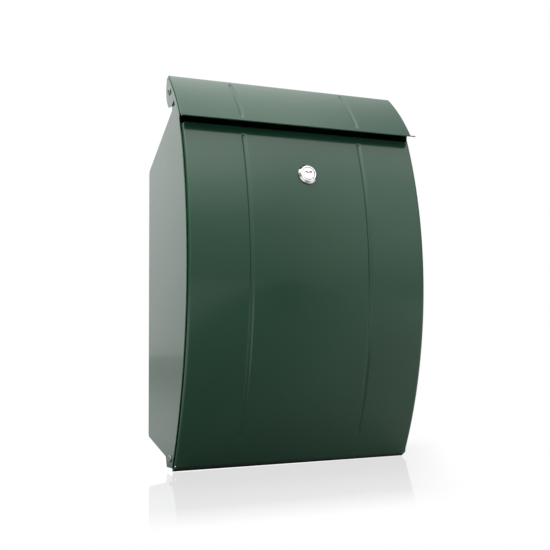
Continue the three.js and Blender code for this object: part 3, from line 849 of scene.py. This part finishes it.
def lock_plug():
    """The turning plug, with a slightly domed face and a bent keyway."""
    edge = PLUG_RADIUS + 1.3
    top = PLUG_TOP
    dome = [(edge - 0.25 - (edge - 0.25) * s, top + 0.2 * (1 - (1 - s) ** 2)) for s in spread(0, 1, 6)]
    foot = PLUG_FACE_FOOT
    step = 2.05
    profile = [(0, foot), (PLUG_RADIUS, foot), (PLUG_RADIUS, step), (edge, step), (edge, top - 0.25), *dome]
    piece = lathed("lock_plug_face", profile, LOCK_FRAME, 96)
    cutter = prism(band_outline(KEYWAY, KEYWAY_WIDTH), foot + 0.5, top + 1, LOCK_FRAME)
    cut(piece, cutter)
    applied(piece)
    bpy.data.objects.remove(cutter)
    smoothed(piece)
    return piece


def band_outline(line, width):
    """The closed outline of a band whose middle follows the line."""
    normals = []
    for k, p in enumerate(line):
        before = (p - line[max(k - 1, 0)]).normalized()
        after = (line[min(k + 1, len(line) - 1)] - p).normalized()
        along = (before + after).normalized()
        normals.append(point(-along.y, along.x) * width / 2)
    left = [p + n for p, n in zip(line, normals)]
    right = [p - n for p, n in zip(line, normals)]
    return left + right[::-1]


def plug_with_tail():
    """The plug's face piece carries its barrel and square tail too."""
    face = lock_plug()
    foot = PLUG_BARREL_FOOT
    top = PLUG_FACE_FOOT - 0.1
    profile = [(0, foot), (PLUG_RADIUS - 0.3, foot), (PLUG_RADIUS, foot + 0.3), (PLUG_RADIUS, top), (0, top)]
    barrel = lathed("plug_barrel", profile, LOCK_FRAME, 48)
    half = PLUG_TAIL_HALF_WIDTH
    square = [point(half, half), point(-half, half), point(-half, -half), point(half, -half)]
    tail = prism(square, PLUG_TAIL_FOOT, foot, LOCK_FRAME)
    for part in (barrel, tail):
        smoothed(part)
    bm = bmesh.new()
    for part in (face, barrel, tail):
        bm.from_mesh(part.data)
    for part in (barrel, tail):
        bpy.data.objects.remove(part)
    bm.to_mesh(face.data)
    bm.free()
    return placed(face, "lock_barrel", ["lock_plug"], CHROME)


# ---------------------------------------------------------------- build the mailbox

back_sheet()
roof_sheet()
floor_sheet()
door_panel()
lid_cover()
lock_body()
plug_with_tail()
for hand, side in (("left", -1), ("right", 1)):
    side_panel(hand, side)
    lid_head = LID_HALF_WIDTH + GAP
    rivet("lid_rivet_head_" + hand, "lid_rivet_" + hand, LID_PIVOT, side, lid_head, INNER_FIT - 0.8 - GAP)
    door_tail = DOOR_HALF_WIDTH - SHEET - 2 * GAP - 0.8
    rivet("door_rivet_head_" + hand, "door_rivet_" + hand, DOOR_PIVOT, side, SIDE_OUTER + GAP, door_tail)

for name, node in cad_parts.items():
    if not node.hide_render:
        node.data.materials.clear()
        node.data.materials.append(PAINT if name == "strike_rail" else ZINC)


# ---------------------------------------------------------------- studio


# How bright the studio is, in front and behind: from straight down (0) to straight up (1), and how
# that is scaled from the left (0) to the right (1). In front, that scale depends on the height too.
BRIGHTEST = 3.0
FRONT_LIGHT = [(0.45, 0.3), (0.57, 0.5), (0.66, 0.64), (0.74, 1.0), (0.83, 1.6), (0.93, 1.8)]
BACK_LIGHT = [(0.3, 0.45), (0.44, 0.6), (0.63, 1.1), (0.85, 1.6)]
LEFT_LIGHT = [(0, 0.3), (0.08, 0.5), (0.15, 1.3), (0.3, 1.9), (0.44, 1.7)]
FRONT_ACROSS = [
    (0.62, LEFT_LIGHT + [(0.58, 1.0), (0.7, 1.1), (0.76, 1.9), (0.82, 1.6), (0.9, 0.3)]),
    (0.78, LEFT_LIGHT + [(0.6, 1.6), (0.66, 1.5), (0.7, 1.1), (0.8, 1.3), (0.9, 0.3)]),
    (0.93, LEFT_LIGHT + [(0.6, 1.0), (0.7, 1.0), (0.75, 0.5), (0.8, 0.6), (0.9, 0.25)]),
]
BACK_ACROSS = [(0, 0.15), (0.24, 0.2), (0.31, 1.0), (0.62, 1.15), (0.7, 0.9), (0.76, 0.5), (1, 0.5)]
FLOOR_TONES = [
    (-0.45, 0.4),
    (-0.3, 0.3),
    (-0.22, 0.13),
    (-0.16, 0.12),
    (-0.06, 0.18),
    (0.06, 0.28),
    (0.22, 0.42),
]
FLOOR_POLISH = [(-0.34, 0), (-0.27, 0.34), (-0.16, 0.47), (-0.04, 0.47), (0.06, 0)]
FLOOR_POLISH_ACROSS = [(0.19, 1), (0.24, 0)]
FLOOR_TONES_ALONG = (1, 0.45, 0)
FLOOR_POLISH_PAST = (1, -0.6, 0)
FLOOR_FRONT_TO_BACK = (-0.14, 0.05)
FLOOR_GLOW = 0.4
FLOOR_TONE_BEHIND = 0.32
FRONT_TO_BACK = (-0.35, 0.45)  # where the front's light gives way to the back's, along Y

# The camera: in front, to the left and low, looking up.
CAMERA_PLACE = (-0.35715, -0.88998, -0.0512)
CAMERA_TURNS = (22.18, 7.17, -0.81)  # yaw, pitch and roll in degrees
CAMERA_LENS = 54.64
CAMERA_SHIFT = (0.0218, -0.06)


def shared(tree, value, low, high, eased=True):
    """How far a value lies from low to high, from 0 to 1, with soft ends where it is eased."""
    node = tree.nodes.new("ShaderNodeMapRange")
    node.interpolation_type = "SMOOTHSTEP" if eased else "LINEAR"
    node.inputs["From Min"].default_value = low
    node.inputs["From Max"].default_value = high
    tree.links.new(value, node.inputs["Value"])
    return node.outputs["Result"]


def distance_along(tree, coords, direction):
    """How far a point lies from the middle of the object along a direction, in metres."""
    node = tree.nodes.new("ShaderNodeVectorMath")
    node.operation = "DOT_PRODUCT"
    node.inputs[1].default_value = direction
    tree.links.new(coords.outputs["Object"], node.inputs[0])
    return node.outputs["Value"]


def ramp_within_metre(tree, distance, levels):
    """Grey levels at distances between -1 m and 1 m."""
    share = shared(tree, distance, -1, 1, eased=False)
    return ramp(tree, share, [((d + 1) / 2, grey(v)) for d, v in levels])


def light_ramp(tree, place, levels):
    return ramp(tree, place, [(p, grey(v / BRIGHTEST)) for p, v in levels])


def light_bands(tree, height, across, bands):
    """Light ramps across the studio, each at its own height, blended between those heights."""
    (low, levels), *others = bands
    colour = light_ramp(tree, across, levels)
    for high, levels in others:
        share = shared(tree, height, low, high)
        colour = mixed(tree, share, colour, light_ramp(tree, across, levels))
        low = high
    return colour


def multiplied(tree, colour_a, colour_b):
    node = tree.nodes.new("ShaderNodeMix")
    node.data_type = "RGBA"
    node.blend_type = "MULTIPLY"
    node.inputs[0].default_value = 1
    tree.links.new(colour_a, node.inputs[6])
    tree.links.new(colour_b, node.inputs[7])
    return node.outputs[2]


def mixed_shader(tree, share, first, second):
    node = tree.nodes.new("ShaderNodeMixShader")
    tree.links.new(share, node.inputs[0])
    tree.links.new(first, node.inputs[1])
    tree.links.new(second, node.inputs[2])
    return node.outputs[0]


def studio_world():
    """A studio that is bright overhead and to the left, and dim low in front and to the right."""
    world = bpy.data.worlds.new("studio")
    bpy.context.scene.world = world
    world.use_nodes = True
    tree = world.node_tree
    output = tree.nodes["World Output"]
    room = tree.nodes["Background"]
    coords = tree.nodes.new("ShaderNodeTexCoord")
    split = tree.nodes.new("ShaderNodeSeparateXYZ")
    tree.links.new(coords.outputs["Generated"], split.inputs[0])
    height = shared(tree, split.outputs["Z"], -1, 1, eased=False)
    depth = shared(tree, split.outputs["Y"], *FRONT_TO_BACK)
    across = shared(tree, split.outputs["X"], -1, 1, eased=False)
    front_across = light_bands(tree, height, across, FRONT_ACROSS)
    front = multiplied(tree, light_ramp(tree, height, FRONT_LIGHT), front_across)
    back = multiplied(tree, light_ramp(tree, height, BACK_LIGHT), light_ramp(tree, across, BACK_ACROSS))
    colour = mixed(tree, depth, front, back)
    tree.links.new(colour, room.inputs["Color"])
    room.inputs["Strength"].default_value = BRIGHTEST**2
    white = tree.nodes.new("ShaderNodeBackground")
    white.inputs["Color"].default_value = (1, 1, 1, 1)
    path = tree.nodes.new("ShaderNodeLightPath")
    choose = tree.nodes.new("ShaderNodeMixShader")
    tree.links.new(path.outputs["Is Camera Ray"], choose.inputs[0])
    tree.links.new(room.outputs[0], choose.inputs[1])
    tree.links.new(white.outputs[0], choose.inputs[2])
    tree.links.new(choose.outputs[0], output.inputs["Surface"])


def pale_floor():
    """A white floor that shows a faint reflection of the box, which fades to plain white.

    It is clear where it doesn't reflect and from below, so that the open door, which swings lower
    than the floor, is seen and lit.
    """
    bm = bmesh.new()
    bmesh.ops.create_grid(bm, x_segments=1, y_segments=1, size=12)
    floor = linked("floor", mesh_from(bm, "floor"))
    floor.location.z = cad_box[0].z - 0.0002
    material = bpy.data.materials.new("white_sweep")
    material.use_nodes = True
    tree = material.node_tree
    tree.nodes.clear()
    clear = tree.nodes.new("ShaderNodeBsdfTransparent")
    glow = tree.nodes.new("ShaderNodeEmission")
    glow.inputs["Strength"].default_value = FLOOR_GLOW
    polish = tree.nodes.new("ShaderNodeBsdfGlossy")
    polish.inputs["Roughness"].default_value = 0.05
    card = tree.nodes.new("ShaderNodeBsdfDiffuse")
    coords = tree.nodes.new("ShaderNodeTexCoord")
    tones = ramp_within_metre(tree, distance_along(tree, coords, FLOOR_TONES_ALONG), FLOOR_TONES)
    depth = distance_along(tree, coords, (0, 1, 0))
    behind = shared(tree, depth, *FLOOR_FRONT_TO_BACK)
    tree.links.new(mixed(tree, behind, tones, grey(FLOOR_TONE_BEHIND)), card.inputs["Color"])
    past = distance_along(tree, coords, FLOOR_POLISH_PAST)
    past_box = ramp_within_metre(tree, past, FLOOR_POLISH_ACROSS)
    share = multiplied(tree, ramp_within_metre(tree, depth, FLOOR_POLISH), past_box)
    path = tree.nodes.new("ShaderNodeLightPath")
    output = tree.nodes.new("ShaderNodeOutputMaterial")
    bright_polish = tree.nodes.new("ShaderNodeAddShader")
    tree.links.new(polish.outputs[0], bright_polish.inputs[0])
    tree.links.new(glow.outputs[0], bright_polish.inputs[1])
    sweep = mixed_shader(tree, share, clear.outputs[0], bright_polish.outputs[0])
    above = mixed_shader(tree, path.outputs["Is Camera Ray"], card.outputs[0], sweep)
    geometry = tree.nodes.new("ShaderNodeNewGeometry")
    whole = mixed_shader(tree, geometry.outputs["Backfacing"], above, clear.outputs[0])
    tree.links.new(whole, output.inputs["Surface"])
    floor.data.materials.append(material)


def soft_light(name, location, size, energy):
    light = bpy.data.lights.new(name, "AREA")
    light.shape = "SQUARE"
    light.size = size
    light.energy = energy
    lamp = linked(name, light)
    lamp.location = location
    lamp.rotation_euler = (-Vector(location)).to_track_quat("-Z", "Y").to_euler()
    lamp.visible_glossy = False
    lamp.visible_camera = False


def camera():
    yaw, pitch, roll = (math.radians(a) for a in CAMERA_TURNS)
    forward = Vector((math.sin(yaw) * math.cos(pitch), math.cos(yaw) * math.cos(pitch), math.sin(pitch)))
    level = Vector((math.cos(yaw), -math.sin(yaw), 0))
    upward = level.cross(forward)
    right = level * math.cos(roll) + upward * math.sin(roll)
    up = -level * math.sin(roll) + upward * math.cos(roll)
    data = bpy.data.cameras.new("camera")
    eye = linked("camera", data)
    data.lens = CAMERA_LENS
    data.shift_x, data.shift_y = CAMERA_SHIFT
    turn = Matrix((right, up, -forward)).transposed().to_4x4()
    eye.matrix_world = Matrix.Translation(CAMERA_PLACE) @ turn
    bpy.context.scene.camera = eye


studio_world()
pale_floor()
soft_light("side_fill", (-1.6, 0.1, 0.3), 1.4, 24)
soft_light("top_fill", (0.0, -0.5, 1.8), 1.2, 22)
camera()
bpy.context.scene.view_settings.view_transform = "Standard"
